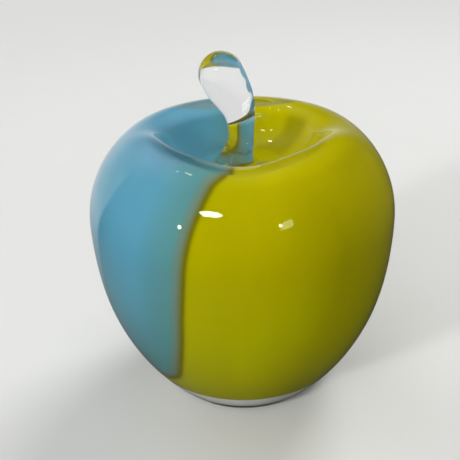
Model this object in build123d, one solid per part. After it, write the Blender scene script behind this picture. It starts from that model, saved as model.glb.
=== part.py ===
from build123d import *
from math import asin, atan2, cos, degrees, radians, sin, sqrt
import os

# An ornamental apple of blown glass, in millimetres.
# Its layers were laid over each other hot, so each one fills the space that the next one leaves.
# The origin is the centre of the ground foot, +Z is up, and the front is towards -Y.

# Outer skin of the body, a run of tangent arcs from the foot up over the shoulder and into the dimple
belly_radius = 50.0
crest_height = 91.5
flank_round = 124.0
flank_turn = 8.8
foot_radius = 26.2
crest_round = 11.0
lip_round = 7.4
dimple_depth = 11.5
dimple_slope = 60.0

# The belly's height as a share of the crest's, and the crest's radius as a share of the belly's
belly_height_share = 0.685
crest_radius_share = 0.608

# Layers of glass, from the outside in
casing_wall = 4.6
blue_wall = 0.7
yellow_wall = 1.4
white_wall = 2.2

# Foot
foot_skin = 3.5
foot_arris = 0.6
kick_radius = 17.0
kick_depth = 1.3
lining_heel_round = 5.0
yellow_foot = 10.7

# Blow hole and the bit of glass that closes it
blow_hole_radius = 5.0
seal_radius = 7.5
seal_head_radius = 8.0
seal_head_rise = 1.8

# Blue panel, which starts a little above the yellow's foot and has rounded corners
panel_foot_rise = 3.2
panel_corner_round = 9.0
panel_waist_round = 90.0
panel_flank_round = 60.0
panel_crest_round = 14.0

# Its edge on the flank, seen from the front: sideways as shares of the belly's radius, and upwards
# as shares of the belly's height
panel_corner_share = -0.392
panel_waist_shares = (-0.366, 0.542)
panel_flank_shares = (-0.314, 1.085)

# Its edge on the top, seen from above: where it meets the flank's edge, as a share of the way from
# the crest out to the belly and sideways as a share of the belly's radius, and where it crosses the
# crest, sideways and forwards as shares of the crest's radius
panel_meet_shares = (0.485, -0.244)
panel_crest_shares = (-0.145, 0.938)

# Stem
stem_foot_x = -1.3
stem_rise = 36.0
stem_foot_radius = 7.0
stem_neck_radius = 4.15
stem_head_radius = 7.0

# Line of the stem as shares of its rise, upwards and sideways, and how far each section
# goes from the neck's radius (0) to the foot's radius (below the neck) or the head's (above it)
stem_height_shares = (0.0, 0.03, 0.08, 0.16, 0.29, 0.41, 0.50, 0.60, 0.70)
stem_side_shares = (0.0, 0.006, 0.018, 0.037, 0.049, 0.045, 0.029, -0.008, -0.060)
stem_swell_shares = (1.0, 0.58, 0.27, 0.08, 0.0, 0.15, 0.41, 0.73, 0.95)
stem_head_lean_share = -0.110

# Overrun of every cutting shape
overrun = 10.0


def arc_point(centre, radius, turn):
    """The point at an angle of turn degrees above the horizontal on a circle about a centre."""
    return (centre[0] + radius * cos(radians(turn)), centre[1] + radius * sin(radians(turn)))


# Centres, heights and radii that follow from the outer skin's sizes
belly_height = belly_height_share * crest_height
crest_radius = crest_radius_share * belly_radius
flank_centre = (belly_radius - flank_round, belly_height)
heel_top = arc_point(flank_centre, flank_round, -flank_turn)
heel_reach = (heel_top[0] - foot_radius, heel_top[1])
heel_normal = arc_point((0, 0), 1, -flank_turn)
heel_square = heel_reach[0] ** 2 + heel_reach[1] ** 2
heel_round = heel_square / (2 * (heel_reach[0] * heel_normal[0] + heel_reach[1] * heel_normal[1]))
heel_centre = arc_point(heel_top, -heel_round, -flank_turn)

crest_centre = (crest_radius, crest_height - crest_round)
crest_run = belly_radius - crest_radius
crest_rise = crest_centre[1] - belly_height
shoulder_square = crest_run**2 + crest_rise**2 - crest_round**2
shoulder_round = shoulder_square / (2 * (crest_run - crest_round))
shoulder_centre = (belly_radius - shoulder_round, belly_height)
shoulder_turn = degrees(atan2(crest_rise, crest_centre[0] - shoulder_centre[0]))

dimple_floor = crest_height - dimple_depth
lip_centre = (crest_radius, crest_height - lip_round)
bowl_round = dimple_depth / (1 - cos(radians(dimple_slope))) - lip_round
bowl_radius = crest_radius - (lip_round + bowl_round) * sin(radians(dimple_slope))
bowl_centre = (bowl_radius, dimple_floor + bowl_round)


def outside_edges(depth, floor):
    """Edges of the skin at a depth under the surface, from the axis at the floor up to the crest."""
    heel_drop = degrees(asin((heel_centre[1] - floor) / (heel_round - depth)))
    heel_foot = arc_point(heel_centre, heel_round - depth, -heel_drop)
    return [
        Line((0, floor), heel_foot),
        CenterArc(heel_centre, heel_round - depth, -heel_drop, heel_drop - flank_turn),
        CenterArc(flank_centre, flank_round - depth, -flank_turn, flank_turn),
        CenterArc(shoulder_centre, shoulder_round - depth, 0, shoulder_turn),
        CenterArc(crest_centre, crest_round - depth, shoulder_turn, 90 - shoulder_turn),
    ]


def turned(section):
    """The solid that a half section in the XZ plane makes when it is turned about the axis."""
    return revolve(Plane.XZ * section, Axis.Z)


def body_under(depth, floor):
    """Everything inside the skin at a depth, with the dimple's rounded lip and bowl."""
    bottom = dimple_floor - depth
    edges = outside_edges(depth, floor)
    edges.append(CenterArc(lip_centre, lip_round - depth, 90, dimple_slope))
    edges.append(CenterArc(bowl_centre, bowl_round + depth, 270 + dimple_slope, -dimple_slope))
    edges.append(Line((bowl_radius, bottom), (0, bottom)))
    edges.append(Line((0, bottom), (0, floor)))
    return turned(make_face(edges))


def core_under(depth, floor):
    """Everything inside the skin at a depth where the lip's rounding is used up and leaves a ridge."""
    top = crest_height - depth
    bottom = dimple_floor - depth
    edges = outside_edges(depth, floor)
    edges.append(Line((crest_radius, top), (0, top)))
    edges.append(Line((0, top), (0, floor)))
    bowl = Pos(*bowl_centre) * Circle(bowl_round + depth)
    well = Pos(0, bottom) * Rectangle(bowl_radius, dimple_depth + overrun, align=(Align.MIN, Align.MIN))
    return turned(make_face(edges) - bowl - well)


def make_kick():
    """The shallow hollow that is ground into the middle of the foot."""
    round_of_kick = (kick_radius**2 + kick_depth**2) / (2 * kick_depth)
    return Pos(0, 0, kick_depth - round_of_kick) * Sphere(round_of_kick)


def make_core():
    """The space inside the clear casing, which the coloured layers fill."""
    core = body_under(casing_wall, foot_skin)
    heel = core.edges().filter_by(GeomType.CIRCLE).sort_by(Axis.Z)[0]
    return fillet(heel, lining_heel_round)


def make_blow_hole():
    """The tapered hole in the foot where the pipe was, from below the foot to the hollow's floor."""
    floor = foot_skin + white_wall
    return Pos(0, 0, floor / 2) * Cone(seal_radius, blow_hole_radius, floor)


def make_panel():
    """The space that the blue panel is cut from: a side seen from the front, a top seen from above."""
    reach = belly_radius + overrun
    meet_radius = crest_radius + panel_meet_shares[0] * crest_run
    meet_x = panel_meet_shares[1] * belly_radius
    meet_y = sqrt(meet_radius**2 - meet_x**2)
    meet_round = shoulder_round - casing_wall
    meet_height = belly_height + sqrt(meet_round**2 - (meet_radius - shoulder_centre[0]) ** 2)

    flank = (panel_flank_shares[0] * belly_radius, panel_flank_shares[1] * belly_height)
    waist = (panel_waist_shares[0] * belly_radius, panel_waist_shares[1] * belly_height)
    panel_foot = yellow_foot + panel_foot_rise
    side_top = crest_height + overrun
    side_lean = (flank[0] - meet_x) / (flank[1] - meet_height)
    side = FilletPolyline(
        (meet_x + (side_top - meet_height) * side_lean, side_top),
        flank,
        waist,
        (panel_corner_share * belly_radius, panel_foot),
        (-reach, panel_foot),
        radius=(panel_flank_round, panel_waist_round, panel_corner_round),
    )
    side_face = make_face([side, Polyline(side @ 1, (-reach, side_top), side @ 0)])
    side_block = extrude(Plane.XZ * side_face, reach, both=True)

    crest_x = panel_crest_shares[0] * crest_radius
    crest_y = panel_crest_shares[1] * crest_radius
    top_end_x = meet_x + (reach - meet_y) * (crest_x - meet_x) / (crest_y - meet_y)
    top = FilletPolyline(
        (top_end_x, -reach),
        (crest_x, -crest_y),
        (stem_foot_x, 0),
        (crest_x, crest_y),
        (top_end_x, reach),
        radius=panel_crest_round,
    )
    top_face = make_face([top, Polyline(top @ 1, (-reach, reach), (-reach, -reach), top @ 0)])
    top_block = extrude(top_face, crest_height + overrun)
    middle = Pos(0, 0, belly_height) * Cylinder(
        meet_radius, crest_height + overrun, align=(Align.CENTER, Align.CENTER, Align.MIN)
    )
    return (side_block - middle) + (top_block & middle)


def make_stem():
    """The clear stem: a flared foot, a neck and a drop-shaped head that leans to the left."""
    points = []
    for up, aside in zip(stem_height_shares, stem_side_shares):
        points.append((stem_foot_x + aside * stem_rise, 0, dimple_floor + up * stem_rise))
    head_height = dimple_floor + stem_rise - stem_head_radius
    head_x = stem_foot_x + stem_head_lean_share * stem_rise
    points.append((head_x, 0, head_height))
    line = Spline(*points, tangents=((0, 0, 1), (head_x - points[-2][0], 0, head_height - points[-2][2])))
    neck_share = min(stem_swell_shares)
    neck_index = stem_swell_shares.index(neck_share)
    sections = []
    for index, point in enumerate(points):
        swell = stem_swell_shares[index] if index < len(stem_swell_shares) else 1
        full = stem_foot_radius if index < neck_index else stem_head_radius
        radius = stem_neck_radius + swell * (full - stem_neck_radius)
        along = line % line.param_at_point(point)
        sections.append(Plane(origin=point, x_dir=(0, 1, 0), z_dir=along) * Circle(radius))
    return loft(sections) + Pos(head_x, 0, head_height) * Sphere(stem_head_radius)


def make_parts():
    """Every piece of the apple by its name."""
    hollow = core_under(casing_wall + yellow_wall + white_wall, foot_skin + white_wall)
    core = make_core()
    hole = make_blow_hole()
    kick = make_kick()

    skin = body_under(0, 0)
    foot_edge = skin.edges().filter_by(GeomType.CIRCLE).sort_by(Axis.Z)[0]
    skin = fillet(foot_edge, foot_arris)

    above_foot = Pos(0, 0, yellow_foot) * Cylinder(
        belly_radius, crest_height, align=(Align.CENTER, Align.CENTER, Align.MIN)
    )
    overlay = (core - core_under(casing_wall + yellow_wall, foot_skin)) & above_foot
    blue = (core - body_under(casing_wall + blue_wall, foot_skin)) & make_panel() & above_foot

    head_floor = foot_skin + white_wall
    head_round = (seal_head_radius**2 + seal_head_rise**2) / (2 * seal_head_rise)
    head = Pos(0, 0, head_floor + seal_head_rise - head_round) * Sphere(head_round)
    head_space = Pos(0, 0, head_floor) * Cylinder(
        seal_head_radius, seal_head_rise, align=(Align.CENTER, Align.CENTER, Align.MIN)
    )
    return {
        "clear_casing": skin - core - kick - hole,
        "yellow_overlay": overlay - blue,
        "blue_overlay": blue,
        "white_lining": core - overlay - hollow - hole,
        "base_seal": (hole - kick) + (head & head_space),
        "stem": make_stem(),
    }


if __name__ == "__main__":
    os.makedirs("parts", exist_ok=True)
    for name, part in make_parts().items():
        part.label = name
        export_step(part, f"parts/{name}.step")
        print(name, len(part.solids()), round(part.volume, 1))
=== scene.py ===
"""An ornamental apple of blown glass: a clear casing over yellow and blue glass, with a clear stem.

Every piece is a surface that is worked out with numpy, in millimetres, and put into a mesh in
metres. The layers share one outline: each is the outer skin, set back by its own depth along the
skin's normal.
"""
import logging
import math
from dataclasses import dataclass
from enum import Enum
from typing import Any

import bpy
import numpy as np
from mathutils import Matrix


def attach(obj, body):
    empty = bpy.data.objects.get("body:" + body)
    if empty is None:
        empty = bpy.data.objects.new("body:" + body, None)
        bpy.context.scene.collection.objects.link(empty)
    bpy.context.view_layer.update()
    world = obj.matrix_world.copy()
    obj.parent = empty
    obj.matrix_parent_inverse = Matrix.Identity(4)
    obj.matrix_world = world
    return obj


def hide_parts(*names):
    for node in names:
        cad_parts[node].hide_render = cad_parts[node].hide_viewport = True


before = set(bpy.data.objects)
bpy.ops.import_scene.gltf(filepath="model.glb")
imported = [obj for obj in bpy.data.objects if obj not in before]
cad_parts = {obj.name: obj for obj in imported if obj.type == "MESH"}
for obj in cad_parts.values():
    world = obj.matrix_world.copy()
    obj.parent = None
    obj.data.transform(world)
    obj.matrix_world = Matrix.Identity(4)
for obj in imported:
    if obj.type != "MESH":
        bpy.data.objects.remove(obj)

LOG = logging.getLogger("glass_apple")
BODY = "root"
# Attributes that the coloured pieces store at their points.
SEAM = "seam_distance"
# The rim's share places painted shade over the back of the crest.
RIM_SHADE = "rim_shade_share"
MM = 0.001
# Lengths in millimetres: points nearer than this are one, and the longest step on unseen faces.
SAME = 1e-6
HIDDEN_STEP = 2.0
# Angles in degrees: the widest turn between two points of an arc, and the least sharp edge.
WIDEST_TURN = 3.0
SHARP_EDGE = 40.0

Pair = tuple[float, float]
Place = tuple[float, float, float]
Colour = tuple[float, float, float]


class Slot(Enum):
    """Material slots of the record, one for each piece."""

    CASING = "clear_casing_glass"
    YELLOW = "yellow_green_glass"
    BLUE = "blue_glass"
    OPAL = "opal_white_glass"
    SEAL = "seal_glass"
    STEM = "stem_glass"


class Face(Enum):
    """Shapes of a lamp's face."""

    STRAIGHT = "RECTANGLE"
    ROUND = "ELLIPSE"


# ---------------------------------------------------------------- shapes


def arc(centre: Pair, radius: float, start: float, end: float, step: float) -> np.ndarray:
    """Points along a circle: the centre plus the radius times the angle's cosine and sine.

    Args:
        centre: Centre in the plane of radius and height, in millimetres.
        radius: Radius in millimetres.
        start: First angle in degrees above the horizontal.
        end: Last angle in degrees.
        step: Longest distance between two points, in millimetres.

    Returns:
        An array of radius and height, one row for each point.
    """
    length = abs(math.radians(end - start)) * radius
    count = math.ceil(max(length / step, abs(end - start) / WIDEST_TURN, 1.0)) + 1
    turn = np.radians(np.linspace(start, end, count))
    return np.stack([centre[0] + radius * np.cos(turn), centre[1] + radius * np.sin(turn)], axis=1)


def straight(start: Pair, end: Pair, step: float) -> np.ndarray:
    """Points along a straight line: the start plus equal shares of the way to the end."""
    return np.linspace(start, end, math.ceil(max(math.dist(start, end) / step, 1.0)) + 1)


def joined(*runs: np.ndarray) -> np.ndarray:
    """The runs one after the other, without a point that repeats the one before it.

    Args:
        runs: Arrays of points, each of which starts where the one before it ends.

    Returns:
        One array of all the points.
    """
    points = np.concatenate(runs)
    moved = np.linalg.norm(np.diff(points, axis=0), axis=1) > SAME
    return points[np.concatenate([[True], moved])]


def capped(line: np.ndarray, step: float) -> np.ndarray:
    """The line, and a level run from its end to the axis."""
    return joined(line, straight(tuple(line[-1]), (0.0, line[-1, 1]), step))


def dome(radius: np.ndarray, rim: float, rise: float) -> np.ndarray:
    """Height of a round cap over its rim: the sphere's height at the radius less that at the rim.

    Args:
        radius: Distances from the axis.
        rim: Radius of the rim, where the height is 0.
        rise: Height in the middle.

    Returns:
        The height at each distance.
    """
    sphere = (rim**2 + rise**2) / (2 * rise)
    return rise - sphere + np.sqrt(sphere**2 - radius**2)


def turns(count: int) -> np.ndarray:
    """That many equal turns about the axis, in radians from +X."""
    return np.arange(count) * (2 * math.pi / count)


def around(rings: np.ndarray, turn: np.ndarray) -> np.ndarray:
    """Rings turned about the axis: the radius times the turn's cosine and sine, and the height.

    Args:
        rings: Radius and height of each ring.
        turn: Turns in radians, the same for all rings or one row for each.

    Returns:
        The points, one row for each ring.
    """
    radius, height = rings[:, 0:1], rings[:, 1:2]
    return np.stack([radius * np.cos(turn), radius * np.sin(turn), height + 0.0 * turn], axis=-1)


def way_along(points: np.ndarray) -> np.ndarray:
    """The distance from the first point to each point, as the sum of the steps between them."""
    return np.concatenate([[0.0], np.cumsum(np.linalg.norm(np.diff(points, axis=0), axis=1))])


def outward_normals(points: np.ndarray) -> np.ndarray:
    """The outline's normal at each point: its direction, turned a quarter to the right."""
    slope = np.gradient(points, axis=0)
    return np.column_stack([slope[:, 1], -slope[:, 0]]) / np.linalg.norm(slope, axis=1)[:, None]


def smooth_through(keys: np.ndarray, values: np.ndarray, at: np.ndarray) -> np.ndarray:
    """A smooth curve through the keys: a cubic between each two, whose slope at a key is the slope
    between the key's two neighbours.

    Args:
        keys: Rising places.
        values: The value at each key, as one column or several.
        at: Places to work the curve out for.

    Returns:
        The curve's value at each place.
    """
    columns = values.reshape(len(keys), -1)
    slopes = np.gradient(columns, keys, axis=0)
    left = np.clip(np.searchsorted(keys, at, side="right") - 1, 0, len(keys) - 2)
    span = (keys[left + 1] - keys[left])[:, None]
    share = np.clip((at - keys[left])[:, None] / span, 0.0, 1.0)
    square, cube = share**2, share**3
    curve = (
        (2 * cube - 3 * square + 1) * columns[left]
        + (cube - 2 * square + share) * span * slopes[left]
        + (3 * square - 2 * cube) * columns[left + 1]
        + (cube - square) * span * slopes[left + 1]
    )
    return curve.reshape((len(at), *values.shape[1:]))


def eased(low: float, high: float, value: np.ndarray) -> np.ndarray:
    """0 below low, 1 above high, and three squares less two cubes of the share in between."""
    share = np.clip((value - low) / (high - low), 0.0, 1.0)
    return share * share * (3.0 - 2.0 * share)


@dataclass(frozen=True)
class Skin:
    """The outer skin's outline: tangent arcs from the foot over the shoulder into the dimple."""

    belly_radius: float = 50.0
    belly_height: float = 62.6775
    flank_round: float = 124.0
    flank_turn: float = 8.8
    foot_radius: float = 26.2
    crest_radius: float = 30.4
    crest_height: float = 91.5
    crest_round: float = 11.0
    lip_round: float = 7.4
    dimple_depth: float = 11.5
    dimple_slope: float = 60.0

    @property
    def flank_centre(self) -> Pair:
        """Centre of the long arc below the belly."""
        return (self.belly_radius - self.flank_round, self.belly_height)

    @property
    def heel_round(self) -> float:
        """Radius of the arc that is tangent to the flank and ends at the foot's edge.

        Returns:
            The square of the way from the foot's edge to the flank's end, over twice that way's
            part along the flank's normal.
        """
        turn = math.radians(self.flank_turn)
        reach = self.flank_centre[0] + self.flank_round * math.cos(turn) - self.foot_radius
        rise = self.flank_centre[1] - self.flank_round * math.sin(turn)
        return (reach**2 + rise**2) / (2 * (reach * math.cos(turn) - rise * math.sin(turn)))

    @property
    def heel_centre(self) -> Pair:
        """Centre of the heel's arc, on the line from the flank's centre to their common point.

        Returns:
            The flank's centre, moved along that line by the flank's radius less the heel's.
        """
        turn, way = math.radians(self.flank_turn), self.flank_round - self.heel_round
        centre = self.flank_centre
        return (centre[0] + way * math.cos(turn), centre[1] - way * math.sin(turn))

    @property
    def crest_centre(self) -> Pair:
        """Centre of the arc that ends at the crest."""
        return (self.crest_radius, self.crest_height - self.crest_round)

    @property
    def shoulder_round(self) -> float:
        """Radius of the arc that is tangent to the belly's upright and to the crest's arc.

        Returns:
            The squares of the run and the rise to the crest's centre less that of the crest's
            radius, over twice the run less the crest's radius.
        """
        run = self.belly_radius - self.crest_radius
        rise = self.crest_centre[1] - self.belly_height
        return (run**2 + rise**2 - self.crest_round**2) / (2 * (run - self.crest_round))

    @property
    def shoulder_centre(self) -> Pair:
        """Centre of the shoulder's arc, level with the belly."""
        return (self.belly_radius - self.shoulder_round, self.belly_height)

    @property
    def shoulder_turn(self) -> float:
        """Angle in degrees at which the shoulder's arc runs into the crest's."""
        centre, crest = self.shoulder_centre, self.crest_centre
        return math.degrees(math.atan2(crest[1] - centre[1], crest[0] - centre[0]))

    @property
    def dimple_floor(self) -> float:
        """Height of the flat floor of the dimple."""
        return self.crest_height - self.dimple_depth

    @property
    def bowl_round(self) -> float:
        """Radius of the hollow arc between the lip and the dimple's floor."""
        slope = math.radians(self.dimple_slope)
        return self.dimple_depth / (1 - math.cos(slope)) - self.lip_round

    @property
    def bowl_radius(self) -> float:
        """Radius at which the bowl runs into the flat floor."""
        slope = math.radians(self.dimple_slope)
        return self.crest_radius - (self.lip_round + self.bowl_round) * math.sin(slope)

    def rise(self, depth: float, start: float, step: float) -> np.ndarray:
        """The outline at a depth, from the heel over the crest to the edge of the dimple's floor.

        Each arc keeps its centre and loses the depth from its radius. The hollow bowl gains it.

        Args:
            depth: Depth under the skin in millimetres.
            start: Angle in degrees on the heel's arc where the outline starts.
            step: Longest distance between two points.

        Returns:
            An array of radius and height up to the edge of the dimple's flat floor.
        """
        bowl = (self.bowl_radius, self.dimple_floor + self.bowl_round)
        lip = (self.crest_radius, self.crest_height - self.lip_round)
        slope = self.dimple_slope
        return joined(
            arc(self.heel_centre, self.heel_round - depth, start, -self.flank_turn, step),
            arc(self.flank_centre, self.flank_round - depth, -self.flank_turn, 0, step),
            arc(self.shoulder_centre, self.shoulder_round - depth, 0, self.shoulder_turn, step),
            arc(self.crest_centre, self.crest_round - depth, self.shoulder_turn, 90, step),
            arc(lip, self.lip_round - depth, 90, 90 + slope, step),
            arc(bowl, self.bowl_round + depth, 270 + slope, 270, step),
        )

    def turn_at(self, depth: float, height: float) -> float:
        """Angle in degrees on the heel's arc at which the surface at a depth has a height."""
        return math.degrees(math.asin((height - self.heel_centre[1]) / (self.heel_round - depth)))

    def layer(self, depth: float, foot: float, step: float, finer: float = 1.0) -> np.ndarray:
        """The outline at a depth, from a height on the heel up and in to the axis.

        Args:
            depth: Depth under the skin in millimetres.
            foot: Height at which the outline starts.
            step: Longest distance between two points.
            finer: How many times shorter the steps on the dimple's floor are.

        Returns:
            An array of radius and height.
        """
        return capped(self.rise(depth, self.turn_at(depth, foot), step), step / finer)

    def foot(
        self, depth: float, floor: float, fillet: float, inner: float, step: float
    ) -> tuple[np.ndarray, float]:
        """A flat floor and the fillet that rounds it into the heel's arc at a depth.

        The fillet's centre is one fillet above the floor and one fillet inside the heel's arc.

        Args:
            depth: Depth under the skin in millimetres.
            floor: Height of the floor.
            fillet: Radius of the fillet.
            inner: Radius at which the floor starts.
            step: Longest distance between two points.

        Returns:
            The points from the floor's start to the fillet's end, and the angle in degrees on the
            heel's arc where that end is.
        """
        drop = floor + fillet - self.heel_centre[1]
        reach = math.sqrt((self.heel_round - depth - fillet) ** 2 - drop**2)
        centre = (self.heel_centre[0] + reach, floor + fillet)
        end = math.degrees(math.atan2(drop, reach))
        flat = straight((inner, floor), (centre[0], floor), step)
        return joined(flat, arc(centre, fillet, -90, end, step)), end


@dataclass(frozen=True)
class Crest:
    """How the crest departs from a true round: it dips before the stem and rises beside the dip."""

    turns: tuple[float, ...] = (-180, -155, -125, -90, -55, -25, 0, 45, 90, 135, 180)
    rises: tuple[float, ...] = (0.9, 2.4, 1.7, -0.52, 1.59, 1.75, -0.1, -0.1, 0.0, 0.35, 0.9)
    shift: Pair = (0.78, -1.31)
    radius: float = Skin.crest_radius
    reach_out: float = 17.0
    reach_in: float = 20.4
    height_span: Pair = (56.0, 72.0)

    def shaped(self, points: np.ndarray) -> np.ndarray:
        """Points of a true round body, moved to where the hand-shaped one has them.

        Each point moves up by the rise for its turn about the axis and sideways by the shift, both
        times a share that is 1 on the crest's circle and eases to 0 at its reach.

        Args:
            points: Points in millimetres.

        Returns:
            The moved points.
        """
        x, y, z = points.T
        radius = np.hypot(x, y)
        keys, rises = np.array(self.turns, float), np.array(self.rises)
        # Two more keys at each end carry the curve smoothly past the half turn.
        keys = np.concatenate([keys[-3:-1] - 360.0, keys, keys[1:3] + 360.0])
        rises = np.concatenate([rises[-3:-1], rises, rises[1:3]])
        rise = smooth_through(keys, rises, np.degrees(np.arctan2(y, x)))
        outside = eased(0.0, self.reach_out, radius - self.radius)
        inside = eased(0.0, self.reach_in, self.radius - radius)
        share = (1.0 - outside) * (1.0 - inside) * eased(*self.height_span, z)
        along_x, along_y = (np.full(len(x), shift) for shift in self.shift)
        return points + share[:, None] * np.column_stack([along_x, along_y, rise])


@dataclass(frozen=True)
class PaintedRimShade:
    """Painted shade over the back of the crest: a band where the colours go over to grey, standing
    in for the dark view that the thick clear crest gives there.
    """

    lean: float = 22.0
    limit: float = 0.46
    narrowing: float = 0.57
    middle: float = -4.0
    half_width: float = 21.5
    blend: float = 0.16
    behind: Pair = (36.0, 76.0)

    def share(self, skin: Skin, points: np.ndarray, depth: float) -> np.ndarray:
        """How far each point lies in the rim: 1 well inside it, 0 outside.

        The surface leans back by the arc sine of its distance past the crest over the arc's radius.
        It is in the rim where the cosine between its normal and a line that leans towards the front
        is under the limit, which drops with the square of the distance from the rim's middle.

        Args:
            skin: The outline that the crest's arc belongs to.
            points: Points of a layer in millimetres, before the crest is shaped.
            depth: The layer's depth under the skin.

        Returns:
            The shares, one for each point.
        """
        x, y, z = points.T
        radius = np.maximum(np.hypot(x, y), SAME)
        sine = np.clip((radius - skin.crest_radius) / (skin.crest_round - depth), -1.0, 1.0)
        lean = math.radians(self.lean)
        facing = math.sin(lean) * np.sqrt(1.0 - sine**2) - math.cos(lean) * sine * y / radius
        limit = self.limit - self.narrowing * ((x - self.middle) / self.half_width) ** 2
        inside = eased(0.0, self.blend, limit - facing) * ((y > 0.0) & (z > skin.belly_height))
        return inside * (1.0 - eased(*self.behind, np.degrees(np.arcsin(sine))))


@dataclass(frozen=True)
class Seam:
    """The blue panel's edge, as half the angle that the panel covers about the axis.

    The half angle is a smooth curve over the way up the coloured surface from the yellow's foot.
    The bottom corners are rounded, and on the dimple's floor the edge is a line across.
    """

    ways: tuple[float, ...] = (
        4.7, 12.7, 22.2, 30.8, 41.1, 51.9, 62.5, 70.8,
        75.5, 79.6, 83.0, 86.5, 90.0, 100.0, 105.0, 110.0,
    )
    half_angles: tuple[float, ...] = (
        52.5, 57.5, 62.1, 64.9, 66.7, 68.3, 69.6, 71.4,
        72.9, 74.3, 76.0, 79.6, 80.8, 80.1, 79.2, 77.9,
    )
    corner_round: float = 11.0
    tip_radius: float = 1.38
    front_lean: float = 0.09
    back_lean: float = -0.22
    back_reach: float = 15.6
    back_span: Pair = (60.0, 86.0)

    def half_angle(self, way: np.ndarray, radius: np.ndarray, behind: bool) -> np.ndarray:
        """Half the panel's angle in radians on rings of the coloured surface.

        Args:
            way: Way of each ring up from the yellow's foot, in millimetres.
            radius: Radius of each ring.
            behind: Whether it is the half behind the axis, which reaches further over the crest.

        Returns:
            The half angle of each ring, less what the rounded bottom corner takes off.
        """
        angle = smooth_through(np.array(self.ways), np.array(self.half_angles), way)
        if behind:
            angle = angle + self.back_reach * eased(*self.back_span, way)
        rise = np.clip(way - self.ways[0], 0.0, self.corner_round)
        inset = self.corner_round - np.sqrt(self.corner_round**2 - (self.corner_round - rise) ** 2)
        lean, least = (self.back_lean, -1.0) if behind else (self.front_lean, 0.0)
        line = self.tip_radius + lean * (radius - self.tip_radius)
        safe = np.maximum(radius, self.tip_radius)
        across = np.arccos(np.clip(line / safe, least, 1.0))
        return np.where(way > self.ways[-1], across, np.radians(angle) - inset / safe)

    def distance(self, way: np.ndarray, radius: np.ndarray, turn: np.ndarray) -> np.ndarray:
        """The distance of surface points inside the panel's edge, negative outside it.

        It is the way round to the edge, shortened by the edge's own slope, or the way up from the
        panel's foot where that is less.

        Args:
            way: Way of each ring up from the yellow's foot, in millimetres.
            radius: Radius of each ring.
            turn: Turn of each point in radians from +X, one row for each ring.

        Returns:
            The distance in millimetres, one row for each ring.
        """
        off = np.mod(turn, 2 * math.pi) - math.pi
        sides = []
        for behind in (False, True):
            half = self.half_angle(way, radius, behind)
            shortened = radius / np.sqrt(1.0 + (radius * np.gradient(half, way)) ** 2)
            sides.append((half[:, None] - np.abs(off)) * shortened[:, None])
        return np.minimum(np.where(off < 0.0, sides[1], sides[0]), (way - self.ways[0])[:, None])


@dataclass(frozen=True)
class BlowHole:
    """The tapered hole in the foot, and the ground hollow that it opens into."""

    radius: float = 7.5
    taper: float = 0.4386
    kick_radius: float = 17.0
    kick_depth: float = 1.3

    def kick(self, radius: np.ndarray) -> np.ndarray:
        """The ground hollow, as radius and height."""
        return np.column_stack([radius, dome(radius, self.kick_radius, self.kick_depth)])

    def radius_at(self, height: float) -> float:
        """Radius of the hole: its radius at the floor less the taper times the height."""
        return self.radius - self.taper * height


@dataclass(frozen=True)
class Seat:
    """Where the stem's foot stands on the dimple's floor."""

    place: float = -1.3
    radius: float = 7.0


def linked(name: str, data: bpy.types.ID) -> bpy.types.Object:
    """Puts data into a new object of the scene.

    Args:
        name: Name of the object.
        data: Its mesh, lamp or camera.

    Returns:
        The new object.
    """
    made = bpy.data.objects.new(name, data)
    bpy.context.scene.collection.objects.link(made)
    return made


@dataclass
class Surface:
    """Points and faces that are on their way into a mesh."""

    points: np.ndarray
    faces: list[list[int]]

    @classmethod
    def closed(cls, grid: np.ndarray, first: Place, last: Place) -> "Surface":
        """Rings that close on themselves, with a fan of triangles to a pole at each end.

        Args:
            grid: Points, one row for each ring.
            first: The pole before the first ring.
            last: The pole after the last ring.

        Returns:
            The surface: the first pole, the rings and the last pole, and as its faces the rows of
            quads, the first pole's fan and the last pole's fan, anticlockwise seen from outside.
        """
        rows, sides = grid.shape[:2]
        points = np.concatenate([[first], grid.reshape(-1, 3), [last]])
        index = 1 + np.arange(rows * sides).reshape(rows, sides)
        after = np.roll(index, -1, axis=1)
        poles = np.zeros(sides, int), np.full(sides, len(points) - 1)
        quads = np.stack([index[:-1], after[:-1], after[1:], index[1:]], axis=-1).reshape(-1, 4)
        start = np.stack([poles[0], after[0], index[0]], axis=-1)
        end = np.stack([index[-1], after[-1], poles[1]], axis=-1)
        return cls(points, quads.tolist() + start.tolist() + end.tolist())

    @classmethod
    def lathed(cls, rings: np.ndarray, sides: int) -> "Surface":
        """A closed surface of revolution.

        Args:
            rings: Radius, height and sideways place of each ring. The first and last are poles.
            sides: Points round each ring.

        Returns:
            The surface.
        """
        grid = around(rings[1:-1], turns(sides))
        grid[..., 0] += rings[1:-1, 2:3]
        first, last = ((ring[2], 0.0, ring[1]) for ring in rings[[0, -1]])
        return cls.closed(grid, first, last)

    def mesh(self, name: str) -> bpy.types.Object:
        """Puts the surface into a smooth-shaded object at the origin.

        Args:
            name: Name of the piece.

        Returns:
            The new object.
        """
        data = bpy.data.meshes.new(name)
        data.from_pydata((self.points * MM).tolist(), [], self.faces)
        data.update()
        data.shade_smooth()
        data.set_sharp_from_angle(angle=math.radians(SHARP_EDGE))
        return linked(name, data)


def with_place(points: np.ndarray, place: float | np.ndarray = 0.0) -> np.ndarray:
    """Rings of radius, height and sideways place from points of radius and height."""
    return np.column_stack([points, np.broadcast_to(place, len(points))])


# ---------------------------------------------------------------- finishes


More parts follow.
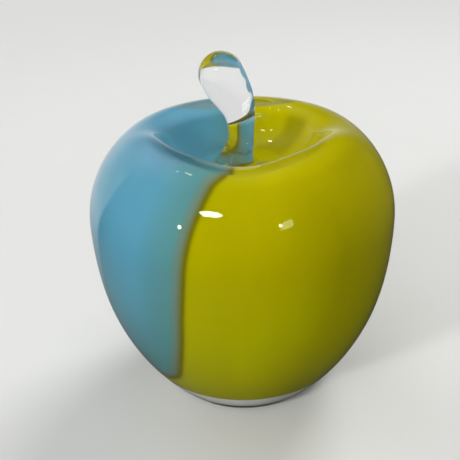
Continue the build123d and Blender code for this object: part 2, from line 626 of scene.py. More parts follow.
class Value:
    """A socket that varies over the surface. Python's operators on it add Math nodes."""

    def __init__(self, recipe: "Recipe", socket: bpy.types.NodeSocket) -> None:
        """Keeps the socket and the recipe that it belongs to."""
        self.recipe = recipe
        self.socket = socket

    def __add__(self, other: "Value | float") -> "Value":
        """This value plus another."""
        return self.recipe.maths("ADD", self, other)

    def __sub__(self, other: "Value | float") -> "Value":
        """This value less another."""
        return self.recipe.maths("SUBTRACT", self, other)

    def __rsub__(self, other: float) -> "Value":
        """A number less this value."""
        return self.recipe.maths("SUBTRACT", other, self)

    def __mul__(self, other: "Value | float") -> "Value":
        """This value times another."""
        return self.recipe.maths("MULTIPLY", self, other)

    __radd__ = __add__
    __rmul__ = __mul__

    def spread(self, low: float, high: float, way: str = "LINEAR") -> "Value":
        """0 at low, 1 at high, and a straight line or another way between them."""
        sockets = {"Value": self, "From Min": low, "From Max": high}
        return self.recipe.node("ShaderNodeMapRange", {"interpolation_type": way}, sockets)

    def eased(self, low: float, high: float) -> "Value":
        """0 at low, 1 at high, and a smooth step between them."""
        return self.spread(low, high, "SMOOTHSTEP")


class Recipe:
    """The nodes of a material, a lamp or the world, which are added one after the other."""

    def __init__(self, owner: bpy.types.ID, output: str = "ShaderNodeOutputMaterial") -> None:
        """Starts the owner's nodes afresh, with nothing but the output.

        Args:
            owner: The material, lamp or world.
            output: The output node's type.
        """
        self.owner = owner
        owner.use_nodes = True
        self.tree = owner.node_tree
        self.tree.nodes.clear()
        self.output = self.tree.nodes.new(output)

    def node(
        self,
        kind: str,
        settings: dict[str, Any],
        sockets: dict[int | str, Any],
        output: int | str = 0,
    ) -> Value:
        """Adds one node.

        Args:
            kind: The node's type.
            settings: Its settings, which are set before its sockets.
            sockets: A value or a link for each input, by number or name.
            output: The output to give back, by number or name.

        Returns:
            That output.
        """
        made = self.tree.nodes.new(kind)
        for key, setting in settings.items():
            setattr(made, key, setting)
        for key, value in sockets.items():
            if isinstance(value, Value):
                self.tree.links.new(value.socket, made.inputs[key])
            else:
                made.inputs[key].default_value = value
        return Value(self, made.outputs[output])

    def maths(self, operation: str, *terms: Value | float) -> Value:
        """The result of a Math node with these inputs in order."""
        return self.node("ShaderNodeMath", {"operation": operation}, dict(enumerate(terms)))

    def vector(self, operation: str, *terms: Value | Place, output: str = "Vector") -> Value:
        """The result of a Vector Math node with these inputs in order."""
        sockets = dict(enumerate(terms))
        return self.node("ShaderNodeVectorMath", {"operation": operation}, sockets, output)

    def part(self, vector: Value, axis: str) -> Value:
        """The part of a vector along X, Y or Z."""
        return self.node("ShaderNodeSeparateXYZ", {}, {0: vector}, axis)

    def mixed(self, share: Value, first: Value | Colour, second: Value | Colour) -> Value:
        """One colour going over into another.

        Args:
            share: The second colour's share, from 0 to 1.
            first: The first colour.
            second: The second colour.

        Returns:
            The mixed colour.
        """
        full = [item if isinstance(item, Value) else (*item, 1.0) for item in (first, second)]
        sockets = {0: share, 6: full[0], 7: full[1]}
        return self.node("ShaderNodeMix", {"data_type": "RGBA"}, sockets, 2)

    def ramp(
        self, value: Value, stops: tuple[tuple[float, Colour], ...], end: float, last: Value
    ) -> Value:
        """Colours one after the other along a value, each blending into the next.

        Args:
            value: The value that the colours follow.
            stops: Rising places and their colours.
            end: Where the last colour is reached.
            last: The colour past the end, which may vary.

        Returns:
            The colour.
        """
        colour: Value | Colour = stops[0][1]
        for (here, _), (there, following) in zip(stops, stops[1:]):
            colour = self.mixed(value.spread(here, there), colour, following)
        return self.mixed(value.eased(stops[-1][0], end), colour, last)

    def place(self) -> Value:
        """The point's place in metres, in the object's own frame."""
        return self.node("ShaderNodeTexCoord", {}, {}, "Object")

    def number(self, name: str) -> Value:
        """A number that the mesh stores at its points."""
        return self.node("ShaderNodeAttribute", {"attribute_name": name}, {}, "Fac")

    def noise(self, place: Value, scale: float, detail: float, stir: float = 0.0) -> Value:
        """Soft noise from 0 to 1, with a scale in repeats a metre, finer layers and a stir."""
        sockets = {"Vector": place, "Scale": scale, "Detail": detail, "Distortion": stir}
        return self.node("ShaderNodeTexNoise", {}, sockets)

    def path(self, name: str) -> Value:
        """What kind of ray it is that asks, by the name of the Light Path node's output."""
        return self.node("ShaderNodeLightPath", {}, {}, name)

    def direct(self) -> Value:
        """1 for a ray that no matt surface has scattered yet, or else 0."""
        return 1.0 - self.maths("GREATER_THAN", self.path("Diffuse Depth"), 0.5)

    def seen(self) -> Value:
        """1 for a ray of the eye, straight or through clear glass, and 0 for light on its way."""
        through = self.path("Is Transmission Ray") * self.direct()
        return self.maths("MAXIMUM", through, self.path("Is Camera Ray"))

    def mirrored(self) -> Value:
        """1 for a ray that a surface mirrors, or else 0."""
        return (1.0 - self.seen()) * self.path("Is Glossy Ray")

    def finished(self, surface: Value) -> bpy.types.ID:
        """Links the surface to the output and gives the owner back."""
        self.tree.links.new(surface.socket, self.output.inputs["Surface"])
        return self.owner


@dataclass(frozen=True)
class ClearGlass:
    """Clear glass with a skin that ripples very slightly, as a fire-polished one does.

    The smears, where the skin is a little less bright, are finer than the ripples.
    """

    name: str
    tint: Colour = (0.97, 0.985, 0.98)
    gleam: Colour = (0.42, 0.42, 0.2)
    ior: float = 1.5
    shade: float = 0.96
    lets_lamps_through: bool = True
    ripple_scale: float = 55.0
    ripple_detail: float = 1.0
    ripple_depth: float = 0.03
    smear_finer: float = 2.0
    smear_detail: float = 3.0
    smear_stir: float = 1.5
    smear_span: Pair = (0.55, 0.8)
    haze: float = 0.012

    def material(self) -> bpy.types.Material:
        """Refracting glass that lets a lamp's light through to what lies under it.

        Returns:
            The material.
        """
        recipe = Recipe(bpy.data.materials.new(self.name))
        place = recipe.place()
        ripple = recipe.noise(place, self.ripple_scale, self.ripple_detail)
        smear_scale = self.ripple_scale * self.smear_finer
        smear = recipe.noise(place, smear_scale, self.smear_detail, self.smear_stir)
        bump = {"Strength": 1.0, "Distance": self.ripple_depth * MM, "Height": ripple}
        sockets = {
            "Base Color": (*self.tint, 1.0),
            "Roughness": smear.eased(*self.smear_span) * self.haze,
            "IOR": self.ior,
            "Transmission Weight": 1.0,
            "Specular Tint": (*self.gleam, 1.0),
            "Normal": recipe.node("ShaderNodeBump", {}, bump),
        }
        glass = recipe.node("ShaderNodeBsdfPrincipled", {}, sockets)
        if not self.lets_lamps_through:
            return recipe.finished(glass)
        dimmed = {"Color": (self.shade, self.shade, self.shade, 1.0)}
        clear = recipe.node("ShaderNodeBsdfTransparent", {}, dimmed)
        shadow = recipe.path("Is Shadow Ray")
        return recipe.finished(
            recipe.node("ShaderNodeMixShader", {}, {0: shadow, 1: glass, 2: clear})
        )


@dataclass(frozen=True)
class FusedFace:
    """The face where two pieces of clear glass are fused, which can't be seen."""

    name: str

    def material(self) -> bpy.types.Material:
        """A surface that isn't there to light or to the eye.

        Returns:
            The material.
        """
        recipe = Recipe(bpy.data.materials.new(self.name))
        unseen = {"Alpha": 0.0, "Roughness": 1.0}
        return recipe.finished(recipe.node("ShaderNodeBsdfPrincipled", {}, unseen))


@dataclass(frozen=True)
class ColouredGlass:
    """Opaque coloured glass under the clear casing, which streaks a little.

    On the yellow and the blue, the low part goes over to painted floor-bounce light; the blue's
    crest goes over to painted top light, and the rim's grey is painted shade. The seam's stops are
    distances in millimetres from the edge, towards the middle of this colour, and the spans of the
    low part and the crest are heights in metres.
    """

    name: str
    colour: Colour
    low_colour_and_bounce: Colour
    low_span: Pair = (0.03, 0.075)
    crest_light_colour: Colour | None = None
    crest_span: Pair = (0.084, 0.0915)
    thin_colour: Colour | None = None
    thin_reach: Pair = (3.0, 18.0)
    rim_shade_colour: Colour | None = None
    seam: tuple[tuple[float, Colour], ...] = ()
    seam_end: float = 0.0
    streak: float = 0.05
    streak_stretch: Place = (1.0, 1.0, 0.3)
    streak_scale: float = 45.0
    streak_detail: float = 3.0
    streak_stir: float = 0.6
    streak_span: Pair = (0.3, 0.7)
    roughness: float = 0.5
    roughness_span: float = 0.1

    def material(self) -> bpy.types.Material:
        """The colour, with painted bounce light low down and painted top light on the crest where
        these are given, streaked the way the glass was drawn, going over to the seam's colours and
        to the rim's painted shade.

        Returns:
            The material.
        """
        recipe = Recipe(bpy.data.materials.new(self.name))
        place = recipe.place()
        height = recipe.part(place, "Z")
        # Low down the colour goes over to painted floor-bounce light, and on the crest to painted
        # top light.
        body = recipe.mixed(height.eased(*self.low_span), self.low_colour_and_bounce, self.colour)
        if self.crest_light_colour:
            body = recipe.mixed(height.eased(*self.crest_span), body, self.crest_light_colour)
        if self.thin_colour:
            near = recipe.number(SEAM).eased(*self.thin_reach)
            body = recipe.mixed(near, self.thin_colour, body)
        drawn = recipe.noise(
            recipe.vector("MULTIPLY", place, self.streak_stretch),
            self.streak_scale,
            self.streak_detail,
            self.streak_stir,
        )
        level = 1.0 - self.streak + 2.0 * self.streak * drawn.eased(*self.streak_span)
        scaled = {0: body, "Scale": level}
        body = recipe.node("ShaderNodeVectorMath", {"operation": "SCALE"}, scaled)
        if self.seam:
            body = recipe.ramp(recipe.number(SEAM), self.seam, self.seam_end, body)
        # The back rim goes over to grey: painted shade.
        if self.rim_shade_colour:
            body = recipe.mixed(recipe.number(RIM_SHADE), body, self.rim_shade_colour)
        sockets = {
            "Base Color": body,
            "Roughness": self.roughness + self.roughness_span * drawn,
            "Specular IOR Level": 0.0,
        }
        return recipe.finished(recipe.node("ShaderNodeBsdfPrincipled", {}, sockets))


# ---------------------------------------------------------------- pieces


@dataclass
class Piece:
    """What every piece has: the outer skin, the crest's shape and the points round each ring."""

    skin: Skin
    sides: int = 256
    crest: Crest = Crest()

    def shaped(self, surface: Surface, name: str) -> bpy.types.Object:
        """The surface with its crest shaped by hand, as an object."""
        return Surface(self.crest.shaped(surface.points), surface.faces).mesh(name)

    def rows(self, piece: bpy.types.Object) -> np.ndarray:
        """The row of each face: the rows of quads, the first pole's fan and the last one's."""
        return np.arange(len(piece.data.polygons)) // self.sides

    def dress(
        self,
        piece: bpy.types.Object,
        slot: Slot,
        *materials: bpy.types.Material,
        chosen: np.ndarray | None = None,
    ) -> bpy.types.Object:
        """Gives a piece its materials and its body, and hides the imported part of the node that it
        stands for.

        Args:
            piece: The object, whose name is the node's with _glass after it.
            slot: The record's material slot; not used.
            materials: Its materials, the main one first.
            chosen: Number of the material of each face, where it isn't the main one all over.

        Returns:
            The object.
        """
        for material in materials:
            piece.data.materials.append(material)
        if chosen is not None:
            piece.data.polygons.foreach_set("material_index", chosen.astype(np.int32))
        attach(piece, BODY)
        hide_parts(piece.name.removesuffix("_glass"))
        return piece


@dataclass
class ClearCasing(Piece):
    """The thick clear gather round everything, open only at the blow hole in the foot."""

    hole: BlowHole = BlowHole()
    seat: Seat = Seat()
    inner_depth: float = 4.9
    inner_floor: float = 3.8
    inner_fillet: float = 5.0
    arris: float = 0.6
    foot_shade: float = 2.2
    step: float = 0.8
    kick_rings: int = 14
    collar_rings: int = 5
    seat_rings: int = 7

    def build(self) -> bpy.types.Object:
        """The cavity's wall from its top down to the hole, and the skin from there to the stem.

        Returns:
            The casing.
        """
        skin, hole, seat, depth = self.skin, self.hole, self.seat, self.inner_depth
        inner = hole.radius_at(self.inner_floor)
        floor, start = skin.foot(depth, self.inner_floor, self.inner_fillet, inner, HIDDEN_STEP)
        wall = skin.rise(depth, start, HIDDEN_STEP)
        inside = capped(joined(floor, wall), HIDDEN_STEP)[::-1]

        hole_foot = hole.radius_at(hole.kick_depth)
        kick = hole.kick(np.linspace(hole_foot, hole.kick_radius, self.kick_rings))
        ring, start = skin.foot(0.0, 0.0, self.arris, hole.kick_radius, self.step)
        outside = joined(kick, ring, skin.rise(0.0, start, self.step))

        # A collar leads from the round bowl to the stem's seat beside the axis, which is flat.
        share = np.linspace(0.0, 1.0, self.collar_rings + 1)[1:]
        collar = skin.bowl_radius + share * (seat.radius - skin.bowl_radius)
        disc = np.linspace(seat.radius, 0.0, self.seat_rings + 1)[1:]
        radius = np.concatenate([collar, disc])
        aside = seat.place * np.concatenate([share, np.ones(len(disc))])
        level = np.column_stack([radius, np.full(len(radius), skin.dimple_floor), aside])
        rings = np.concatenate([with_place(inside), with_place(outside), level])
        piece = self.shaped(Surface.lathed(rings, self.sides), "clear_casing_glass")

        # The stem's seat and the hole's wall are fused, and the ground foot keeps the lamps out.
        row, cavity_top = self.rows(piece), len(rings) - 3
        on_seat = (row > cavity_top - len(disc)) & (row != cavity_top)
        in_hole = row == len(inside) - 2
        foot_end = len(inside) + np.argmax(outside[:, 1] > self.foot_shade)
        on_foot = (row >= len(inside) - 1) & (row < foot_end)
        return self.dress(
            piece,
            Slot.CASING,
            ClearGlass("clear_casing_finish").material(),
            FusedFace("fused_casing_face").material(),
            ClearGlass("ground_foot_finish", lets_lamps_through=False).material(),
            chosen=np.where(on_foot, 2, on_seat | in_hole),
        )


@dataclass
class ColouredPiece(Piece):
    """What the yellow and the blue share: the seam, the rim of painted shade, their foot and their
    step.
    """

    seam: Seam = Seam()
    rim: PaintedRimShade = PaintedRimShade()
    foot_height: float = 10.7
    step: float = 0.8

    def marked(
        self, surface: Surface, name: str, depth: float, distance: np.ndarray
    ) -> bpy.types.Object:
        """Shapes the piece and stores what its colours follow.

        Args:
            surface: The piece before its crest is shaped.
            name: Name of the piece.
            depth: Depth of its outer face under the skin.
            distance: Each point's distance from the seam.

        Returns:
            The object.
        """
        piece = self.shaped(surface, name)
        rim = self.rim.share(self.skin, surface.points, depth)
        for key, values in ((SEAM, distance), (RIM_SHADE, rim)):
            layer = piece.data.attributes.new(key, "FLOAT", "POINT")
            layer.data.foreach_set("value", values.astype(np.float32))
        return piece


@dataclass
class YellowOverlay(ColouredPiece):
    """The yellow-green layer round the whole body, thinner where the blue lies on it."""

    depth: float = 4.6
    wall: float = 1.4
    recess: float = 0.7
    recess_reach: float = 3.0
    hidden_distance: float = 12.0

    def build(self) -> bpy.types.Object:
        """The inner face from its top down to the foot, and the outer face back up.

        Returns:
            The yellow layer, with its points' distance from the seam.
        """
        inner = self.skin.layer(self.depth + self.wall, self.foot_height, HIDDEN_STEP)[::-1]
        outer = self.skin.layer(self.depth, self.foot_height, self.step)
        surface = Surface.lathed(with_place(np.concatenate([inner, outer])), self.sides)

        turn = np.broadcast_to(turns(self.sides), (len(outer) - 1, self.sides))
        distance = self.seam.distance(way_along(outer)[:-1], outer[:-1, 0], turn)
        sunk = self.recess * eased(0.0, self.recess_reach, distance)
        first = 1 + (len(inner) - 1) * self.sides
        shown = surface.points[first:-1].reshape(*turn.shape, 3)
        shown -= sunk[..., None] * around(outward_normals(outer)[:-1], turn)
        values = np.full(len(surface.points), self.hidden_distance)
        values[first:-1] = -distance.ravel()
        finish = ColouredGlass(
            "yellow_green_finish",
            colour=(0.362, 0.325, 0.0),
            # Painted floor-bounce light low down.
            low_colour_and_bounce=(0.365, 0.355, 0.0),
            # Painted shade of the back rim.
            rim_shade_colour=(0.235, 0.232, 0.065),
            seam=(
                (0.0, (0.145, 0.125, 0.003)),
                (0.5, (0.205, 0.18, 0.001)),
                (1.2, (0.325, 0.3, 0.0)),
            ),
            seam_end=2.0,
        )
        piece = self.marked(surface, "yellow_overlay_glass", self.depth, values)
        return self.dress(piece, Slot.YELLOW, finish.material())


@dataclass
class BlueOverlay(ColouredPiece):
    """The blue panel, a film of glass that thins out to nothing along its edge."""

    depth: float = 4.57
    film: float = 0.55
    edge_reach: float = 1.5
    columns: int = 161
    corner_rings: int = 24
    floor_finer: float = 2.0
    tip_margin: float = 1.08

    def build(self) -> bpy.types.Object:
        """A grid of rings up the panel and equal shares of its half angle, and one behind it.

        The two share their rims, and the second lies deeper by the film's thickness.

        Returns:
            The blue panel, with its points' distance from the seam.
        """
        seam = self.seam
        line = self.skin.layer(self.depth, self.foot_height, self.step, self.floor_finer)
        way = way_along(line)
        lift = 1 - np.cos(np.linspace(0.0, math.pi / 2, self.corner_rings))
        corner = seam.ways[0] + seam.corner_round * lift
        past_corner = way > corner[-1] + self.step / 2
        rest = way[past_corner & (line[:, 0] > seam.tip_radius * self.tip_margin)]
        ways = np.concatenate([corner, rest])
        rings = np.column_stack([np.interp(ways, way, line[:, axis]) for axis in (0, 1)])
        front, back = (seam.half_angle(ways, rings[:, 0], half)[:, None] for half in (False, True))
        share = np.sin(np.linspace(-math.pi / 2, math.pi / 2, self.columns))
        turn = math.pi + np.where(share < 0.0, back, front) * share
        distance = seam.distance(ways, rings[:, 0], turn)
        shown = around(rings, turn)
        sunk = self.film * eased(0.0, self.edge_reach, distance)
        hidden = shown - sunk[..., None] * around(outward_normals(rings), turn)

        middle = (slice(1, -1), slice(1, -1))
        outer = np.arange(turn.size).reshape(turn.shape)
        inner = outer.copy()
        inner[middle] = turn.size + np.arange(inner[middle].size).reshape(inner[middle].shape)
        points = np.concatenate([shown.reshape(-1, 3), hidden[middle].reshape(-1, 3)])
        outward = [outer[:-1, :-1], outer[:-1, 1:], outer[1:, 1:], outer[1:, :-1]]
        inward = [inner[:-1, :-1], inner[1:, :-1], inner[1:, 1:], inner[:-1, 1:]]
        faces = [np.stack(corners, axis=-1).reshape(-1, 4) for corners in (outward, inward)]
        surface = Surface(points, np.concatenate(faces).tolist())
        values = np.concatenate([distance.ravel(), distance[middle].ravel()])
        finish = ColouredGlass(
            "blue_finish",
            colour=(0.083, 0.264, 0.36),
            # Painted floor-bounce light low down.
            low_colour_and_bounce=(0.09, 0.238, 0.25),
            low_span=(0.012, 0.07),
            # Painted top light on the crest.
            crest_light_colour=(0.13, 0.28, 0.385),
            thin_colour=(0.086, 0.238, 0.245),
            # Painted shade of the back rim.
            rim_shade_colour=(0.13, 0.222, 0.24),
            seam=(
                (0.0, (0.14, 0.124, 0.004)),
                (0.45, (0.135, 0.138, 0.015)),
                (0.95, (0.135, 0.15, 0.054)),
                (1.6, (0.125, 0.178, 0.112)),
                (2.6, (0.117, 0.204, 0.168)),
            ),
            seam_end=4.5,
            streak=0.04,
        )
        piece = self.marked(surface, "blue_overlay_glass", self.depth, values)
        return self.dress(piece, Slot.BLUE, finish.material())


@dataclass
class WhiteLining(Piece):
    """The opal white layer inside the colours, which shows below them at the foot."""

    hole: BlowHole = BlowHole(radius=7.6)
    depth: float = 4.6
    floor: float = 3.5
    under_yellow: float = 6.0
    inner_depth: float = 7.2
    inner_floor: float = 5.7
    fillet: float = 5.0
    shown_height: float = 10.6
    floor_step: float = 1.0
    shown_step: float = 0.6

    def build(self) -> bpy.types.Object:
        """The hollow's wall from its top down to the hole, and the outer face back up.

        Returns:
            The lining.
        """
        skin, hole, depth = self.skin, self.hole, self.inner_depth
        inner = hole.radius_at(self.inner_floor)
        floor, start = skin.foot(depth, self.inner_floor, self.fillet, inner, HIDDEN_STEP)
        wall = skin.rise(depth, start, HIDDEN_STEP)
        inside = capped(joined(floor, wall), HIDDEN_STEP)[::-1]
        inner = hole.radius_at(self.floor)
        floor, start = skin.foot(self.depth, self.floor, self.fillet, inner, self.floor_step)
        end = skin.turn_at(self.depth, self.shown_height)
        shown = arc(skin.heel_centre, skin.heel_round - self.depth, start, end, self.shown_step)
        covered = skin.layer(self.under_yellow, self.shown_height, HIDDEN_STEP)
        rings = with_place(np.concatenate([inside, joined(floor, shown, covered)]))
        piece = self.shaped(Surface.lathed(rings, self.sides), "white_lining_glass")
        finish = ColouredGlass(
            "opal_white_finish",
            colour=(0.93, 0.93, 0.86),
            low_colour_and_bounce=(0.86, 0.86, 0.80),
            streak=0.03,
        )
        return self.dress(piece, Slot.OPAL, finish.material())


@dataclass
class BaseSeal(Piece):
    """The bit of clear glass that closes the blow hole."""

    hole: BlowHole = BlowHole()
    neck_height: float = 5.65
    head_radius: float = 7.9
    head_rise: float = 1.7
    sides: int = 96
    kick_rings: int = 8
    head_rings: int = 12
    step: float = 1.5

    def build(self) -> bpy.types.Object:
        """The ground underside, the tapered plug and its domed head inside the hollow.

        Returns:
            The seal.
        """
        hole = self.hole
        under = hole.kick(np.linspace(0.0, hole.radius_at(hole.kick_depth), self.kick_rings))
        neck = (hole.radius_at(self.neck_height), self.neck_height)
        side = straight(tuple(under[-1]), neck, self.step)
        radius = np.linspace(self.head_radius, 0.0, self.head_rings)
        height = self.neck_height + dome(radius, self.head_radius, self.head_rise)
        rings = with_place(joined(under, side, np.column_stack([radius, height])))
        piece = Surface.lathed(rings, self.sides).mesh("base_seal_glass")
        row = self.rows(piece)
        return self.dress(
            piece,
            Slot.SEAL,
            ClearGlass("seal_finish", tint=(0.94, 0.97, 0.965)).material(),
            FusedFace("fused_seal_face").material(),
            chosen=(row >= len(under) - 2) & (row < len(under) + len(side) - 3),
        )


@dataclass
class Stem(Piece):
    """The clear stem: a flared foot, a neck, and a drop-shaped head that leans to the left.

    Heights and sideways places are shares of the rise. A swell is how far the radius has gone from
    the neck's to the foot's, or above the neck to the head's.
    """

    seat: Seat = Seat()
    rise: float = 36.0
    neck_radius: float = 4.15
    head_radius: float = 7.0
    head_lean: float = -0.110
    heights: tuple[float, ...] = (0.0, 0.03, 0.08, 0.16, 0.29, 0.41, 0.50, 0.60, 0.70)
    asides: tuple[float, ...] = (0.0, 0.006, 0.018, 0.037, 0.049, 0.045, 0.029, -0.008, -0.060)
    swells: tuple[float, ...] = (1.0, 0.58, 0.27, 0.08, 0.0, 0.15, 0.41, 0.73, 0.95)
    sides: int = 128
    seat_rings: int = 6
    flare_keys: int = 2
    flare_rings: int = 15
    body_rings: int = 60
    top_rings: int = 24

    def line(self) -> tuple[np.ndarray, np.ndarray]:
        """The middle and radius of each ring, and the direction that the ring is square to.

        A smooth curve through the keys goes up to the head's middle, and from there the rings of
        the round top go on straight, with the cosine of the turn as their radius.

        Returns:
            Rows of sideways place, height and radius, and rows of the direction.
        """
        foot = np.array([self.seat.place, self.skin.dimple_floor])
        shares = np.column_stack([self.asides, self.heights])
        swells = np.array(self.swells)
        below_neck = np.arange(len(swells)) < np.argmin(swells)
        full = np.where(below_neck, self.seat.radius, self.head_radius)
        radius = self.neck_radius + swells * (full - self.neck_radius)
        keys = np.column_stack([foot + shares * self.rise, radius])
        head = foot + [self.head_lean * self.rise, self.rise - self.head_radius]
        keys = np.concatenate([keys, [[*head, self.head_radius]]])

        way = way_along(keys[:, :2])
        flare_end = way[self.flare_keys]
        flare = np.linspace(0.0, flare_end, self.flare_rings + 1)[:-1]
        at = np.concatenate([flare, np.linspace(flare_end, way[-1], self.body_rings)])
        body = smooth_through(way, keys, at)
        along = np.gradient(body[:, :2], at, axis=0)
        along[0] = (0.0, 1.0)
        along /= np.linalg.norm(along, axis=1)[:, None]

        turn = np.linspace(0.0, math.pi / 2, self.top_rings + 2)[1:-1]
        middle = head + self.head_radius * np.sin(turn)[:, None] * along[-1]
        top = np.column_stack([middle, self.head_radius * np.cos(turn)])
        return (
            np.concatenate([body, top]),
            np.concatenate([along, np.repeat(along[-1:], len(top), axis=0)]),
        )

    def build(self) -> bpy.types.Object:
        """The flat underside and then circles square to the stem's line, closed at its tip.

        Returns:
            The stem.
        """
        line, along = self.line()
        foot = line[0, :2]
        tip = line[-self.top_rings - 1, :2] + self.head_radius * along[-1]
        radius = np.linspace(0.0, line[0, 2], self.seat_rings + 1)[1:]
        base = np.column_stack([np.tile(foot, (len(radius), 1)), radius])
        line = np.concatenate([base, line[1:]])
        along = np.concatenate([np.repeat(along[:1], len(base), axis=0), along[1:]])

        turn = turns(self.sides)
        across, radius = line[:, 2:3] * np.cos(turn), line[:, 2:3]
        x = line[:, 0:1] + across * along[:, 1:2]
        z = line[:, 1:2] - across * along[:, 0:1]
        grid = np.stack([x, radius * np.sin(turn), z], axis=-1)
        poles = ((place[0], 0.0, place[1]) for place in (foot, tip))
        piece = Surface.closed(grid, *poles).mesh("stem_glass")
        row = self.rows(piece)
        tint = (0.985, 0.99, 0.99)
        return self.dress(
            piece,
            Slot.STEM,
            ClearGlass("stem_finish", tint=tint, shade=0.4, ripple_scale=90.0).material(),
            FusedFace("fused_stem_face").material(),
            chosen=(row < len(base) - 1) | (row == len(line) - 1),
        )


# ---------------------------------------------------------------- studio


def axes(across: np.ndarray, up: np.ndarray, back: np.ndarray, place: Any) -> Matrix:
    """The matrix whose columns are an object's three axes and its place."""
    columns = np.column_stack([across, up, back, place])
    return Matrix(np.concatenate([columns, [[0.0, 0.0, 0.0, 1.0]]]).tolist())


@dataclass(frozen=True)
class Lamp:
    """A lamp that faces the apple. A soft one lights it without a reflection of its own."""

    name: str
    azimuth: float
    elevation: float
    size: Pair
    radiance: float
    colour: Colour = (1.0, 1.0, 1.0)
    face: Face = Face.STRAIGHT
    roll: float = 0.0
    reflected: bool = False
    distance: float = 1.2
    target: Place = (0.0, 0.0, 0.06)

    def build(self) -> None:
        """Hangs the lamp at its distance, with its power from its radiance and its area."""
        turn, rise, roll = np.radians([self.azimuth, self.elevation, self.roll])
        level = math.cos(rise)
        out = np.array([math.sin(turn) * level, -math.cos(turn) * level, math.sin(rise)])
        across = np.array([math.cos(turn), math.sin(turn), 0.0])
        side = math.cos(roll) * across + math.sin(roll) * np.cross(out, across)
        data = bpy.data.lights.new(self.name, "AREA")
        data.shape = self.face.value
        data.size, data.size_y = self.size
        filled = math.pi / 4 if self.face is Face.ROUND else 1.0
        data.energy = self.radiance * math.pi * filled * self.size[0] * self.size[1]
        data.color = self.colour
        data.cycles.use_multiple_importance_sampling = self.reflected
        lamp = linked(self.name, data)
        place = np.array(self.target) + out * self.distance
        lamp.matrix_world = axes(side, np.cross(out, side), out, place)
        lamp.visible_camera = False
        lamp.visible_glossy = lamp.visible_transmission = self.reflected
        lamp.visible_diffuse = not self.reflected
        if self.reflected:
            recipe = Recipe(data, "ShaderNodeOutputLight")
            recipe.finished(recipe.node("ShaderNodeEmission", {}, {"Strength": recipe.direct()}))


@dataclass(frozen=True)
class Glint(Lamp):
    """A small lamp that lights nothing and shows only as its reflection on the glass."""

    face: Face = Face.ROUND
    reflected: bool = True


@dataclass(frozen=True)
class Room:
    """The pale background, and the room that the glass mirrors.

    The mirrored room is pale behind the apple, and dim in front of it and high up behind it. The
    spans and edges are parts of the direction that the ray goes in.
    """

    background: float = 0.72
    pale: Colour = (1.0, 1.0, 0.99)
    front: float = 0.1
    front_low: float = 0.05
    low_span: Pair = (-0.05, 0.5)
    back: float = 1.2
    back_right: float = 0.08
    right_span: Pair = (-0.2, 0.6)
    back_facing: Place = (0.4315, 0.881, 0.1925)
    back_edge: Pair = (-0.03, 0.05)
    soft_edge: Pair = (-0.5, 0.9)
    dark_height: Pair = (-0.35, 0.6)
    dark_side: Pair = (0.2, 0.9)
    crisp_side: Pair = (-0.55, -0.35)
    crisp_top: Pair = (0.2, 0.45)

    def level(self, recipe: Recipe, way: Value) -> Value:
        """The mirrored room's level.

        It goes over from the front's to the back's with the cosine between the direction and the
        line that faces the back, at a crisp edge low on the left and softly everywhere else.

        Args:
            recipe: The material or world that asks.
            way: Direction that the mirrored ray goes in.

        Returns:
            The level, where 1 is white.
        """
        behind = recipe.vector("DOT_PRODUCT", way, self.back_facing, output="Value")
        x, y, z = (recipe.part(way, axis) for axis in "XYZ")
        front = self.front_low + (self.front - self.front_low) * z.eased(*self.low_span)
        back = self.back + (self.back_right - self.back) * x.eased(*self.right_span)
        crisp = (1.0 - x.eased(*self.crisp_side)) * (1.0 - z.eased(*self.crisp_top))
        soft, sharp = behind.eased(*self.soft_edge), behind.eased(*self.back_edge)
        dark = z.eased(*self.dark_height) * y.eased(*self.dark_side)
        return front + (back * (1.0 - dark) - front) * (soft + (sharp - soft) * crisp)

    def glow(self, recipe: Recipe, kind: str, way: Value) -> Value:
        """A shader that shows the eye the background and a mirrored ray the room.

        Args:
            recipe: The material or world that asks.
            kind: The shader's type.
            way: Direction that the ray goes in.

        Returns:
            The shader.
        """
        level = recipe.seen() * self.background + recipe.mirrored() * self.level(recipe, way)
        return recipe.node(kind, {}, {"Color": (*self.pale, 1.0), "Strength": level})

    def build(self) -> None:
        """The world, which shows the room and lights nothing.

        The lamps light the layers straight through the clear glass, so light that leaves a layer
        through the casing finds the world dark, or else it would count twice.
        """
        recipe = Recipe(bpy.data.worlds.new("studio_room"), "ShaderNodeOutputWorld")
        way = recipe.node("ShaderNodeTexCoord", {}, {}, "Generated")
        bpy.context.scene.world = recipe.finished(self.glow(recipe, "ShaderNodeBackground", way))


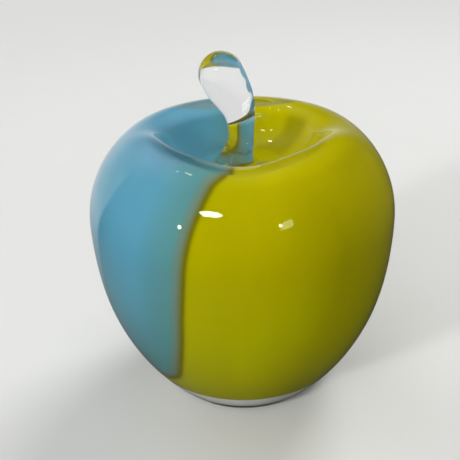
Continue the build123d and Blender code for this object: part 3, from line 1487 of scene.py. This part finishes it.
@dataclass(frozen=True)
class Floor:
    """A wide pale disc just under the foot, which fades into the room far off.

    Light on its way finds the bounce colour. Mirrored rays find the gleam, which is darker on the
    side where the apple's shade falls. Spans are in metres, the disc's sizes in millimetres.
    """

    room: Room
    radius: float = 4000.0
    height: float = -0.02
    sides: int = 96
    colour: Colour = (0.66, 0.66, 0.645)
    worn: float = 0.97
    grain_scale: float = 40.0
    grain_detail: float = 4.0
    roughness: float = 0.8
    sheen: float = 0.2
    bounce: Colour = (0.9, 0.9, 0.86)
    gleam: Colour = (0.2, 0.2, 0.19)
    shade_gleam: Colour = (0.02, 0.02, 0.02)
    shade_span: Pair = (-0.12, 0.08)
    fade: Pair = (0.2, 0.7)
    gleam_fade: Pair = (0.05, 0.3)

    def material(self) -> bpy.types.Material:
        """The matt floor, going over to the room's glow with the distance from the apple.

        Returns:
            The material.
        """
        recipe = Recipe(bpy.data.materials.new("studio_floor_finish"))
        place, seen = recipe.place(), recipe.seen()
        side = recipe.part(place, "X").eased(*self.shade_span)
        gleam = recipe.mixed(side, self.gleam, self.shade_gleam)
        lit = recipe.mixed(recipe.path("Is Glossy Ray"), self.bounce, gleam)
        grain = recipe.noise(place, self.grain_scale, self.grain_detail)
        worn = tuple(channel * self.worn for channel in self.colour)
        colour = recipe.mixed(seen, lit, recipe.mixed(grain, worn, self.colour))
        sockets = {
            "Base Color": colour,
            "Roughness": self.roughness,
            "Specular IOR Level": self.sheen,
        }
        matt = recipe.node("ShaderNodeBsdfPrincipled", {}, sockets)
        pale = self.room.glow(recipe, "ShaderNodeEmission", recipe.vector("NORMALIZE", place))
        far = recipe.vector("LENGTH", place, output="Value")
        fade = seen * far.eased(*self.fade) + recipe.mirrored() * far.eased(*self.gleam_fade)
        return recipe.finished(
            recipe.node("ShaderNodeMixShader", {}, {0: fade, 1: matt, 2: pale})
        )

    def build(self) -> None:
        """Lays the disc."""
        points = around(np.array([[self.radius, self.height]]), turns(self.sides))[0]
        piece = Surface(points, [list(range(self.sides))]).mesh("studio_floor")
        piece.data.materials.append(self.material())


@dataclass(frozen=True)
class Camera:
    """The camera, turned by its pitch, yaw and roll in degrees from looking along +Y.

    The focal length and the image are in pixels.
    """

    place: Place = (0.0, -0.238951, 0.181214)
    pitch: float = 27.865
    yaw: float = -0.997
    roll: float = -1.991
    focal: float = 800.34
    image: float = 460.0
    sensor: float = 36.0
    reach: Pair = (0.01, 50.0)

    def build(self) -> None:
        """Puts up the camera."""
        pitch, yaw, roll = np.radians([self.pitch, self.yaw, self.roll])
        level = math.cos(pitch)
        ahead = np.array([math.sin(yaw) * level, math.cos(yaw) * level, -math.sin(pitch)])
        right = np.cross(ahead, [0.0, 0.0, 1.0])
        right /= np.linalg.norm(right)
        up = np.cross(right, ahead)
        rolled_right = math.cos(roll) * right + math.sin(roll) * up
        rolled_up = -math.sin(roll) * right + math.cos(roll) * up
        data = bpy.data.cameras.new("studio_camera")
        data.sensor_width = self.sensor
        data.lens = self.focal / self.image * self.sensor
        data.clip_start, data.clip_end = self.reach
        camera = linked("studio_camera", data)
        camera.matrix_world = axes(rolled_right, rolled_up, -ahead, self.place)
        bpy.context.scene.camera = camera


@dataclass(frozen=True)
class Studio:
    """The camera, the room with its floor, and the lamps."""

    room: Room = Room()
    soft_lamps: tuple[Lamp, ...] = (
        Lamp("key_lamp", -48.0, 19.5, (0.14, 0.14), 127.0),
        Lamp("high_lamp", -30.0, 45.0, (0.5, 0.5), 2.4),
        Lamp("front_lamp", 0.0, 8.0, (0.5, 0.5), 7.4),
        Lamp("right_lamp", 45.0, 15.0, (0.5, 0.5), 1.2),
        Lamp("left_lamp", -95.0, 30.0, (0.5, 0.5), 2.0),
        Lamp("back_lamp", 146.0, 45.0, (0.5, 0.5), 11.5),
        Lamp("back_left_lamp", -140.0, 25.0, (0.8, 0.8), 2.3),
        Lamp("back_right_lamp", 115.0, 15.0, (0.8, 0.8), 1.72),
        Lamp("top_lamp", 0.0, 80.0, (1.0, 1.0), 1.25),
    )
    glints: tuple[Glint, ...] = (
        Glint("long_glint", -26.0, 39.3, (0.33, 0.1), 120.0, (0.5, 0.6, 1.0), roll=8.0),
        Glint("small_glint", -47.0, 22.0, (0.05, 0.05), 200.0),
        Glint("side_glint", 33.0, 26.0, (0.2, 0.12), 12.0, (0.8, 0.8, 1.0), Face.STRAIGHT),
        Glint("side_spark", 29.0, 27.0, (0.05, 0.05), 60.0),
        Glint("dimple_glint", -80.0, 68.4, (0.16, 0.06), 20.0),
        Glint("dimple_spark", -87.9, 59.6, (0.06, 0.06), 15.0),
        Glint("dimple_star", -150.4, 56.4, (0.07, 0.07), 25.0),
    )

    def build(self) -> None:
        """Puts up the whole studio."""
        for thing in (Camera(), Floor(self.room), self.room, *self.soft_lamps, *self.glints):
            thing.build()
        bpy.context.scene.view_settings.view_transform = "Standard"


def main() -> None:
    """Builds the studio and every piece, and reports each piece."""
    logging.basicConfig(level=logging.INFO, format="%(message)s")
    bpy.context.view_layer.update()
    Studio().build()
    skin = Skin()
    for kind in (ClearCasing, YellowOverlay, BlueOverlay, WhiteLining, BaseSeal, Stem):
        piece = kind(skin).build()
        points, faces = len(piece.data.vertices), len(piece.data.polygons)
        LOG.info("%s: %d points, %d faces", piece.name, points, faces)


if __name__ == "__main__":
    main()
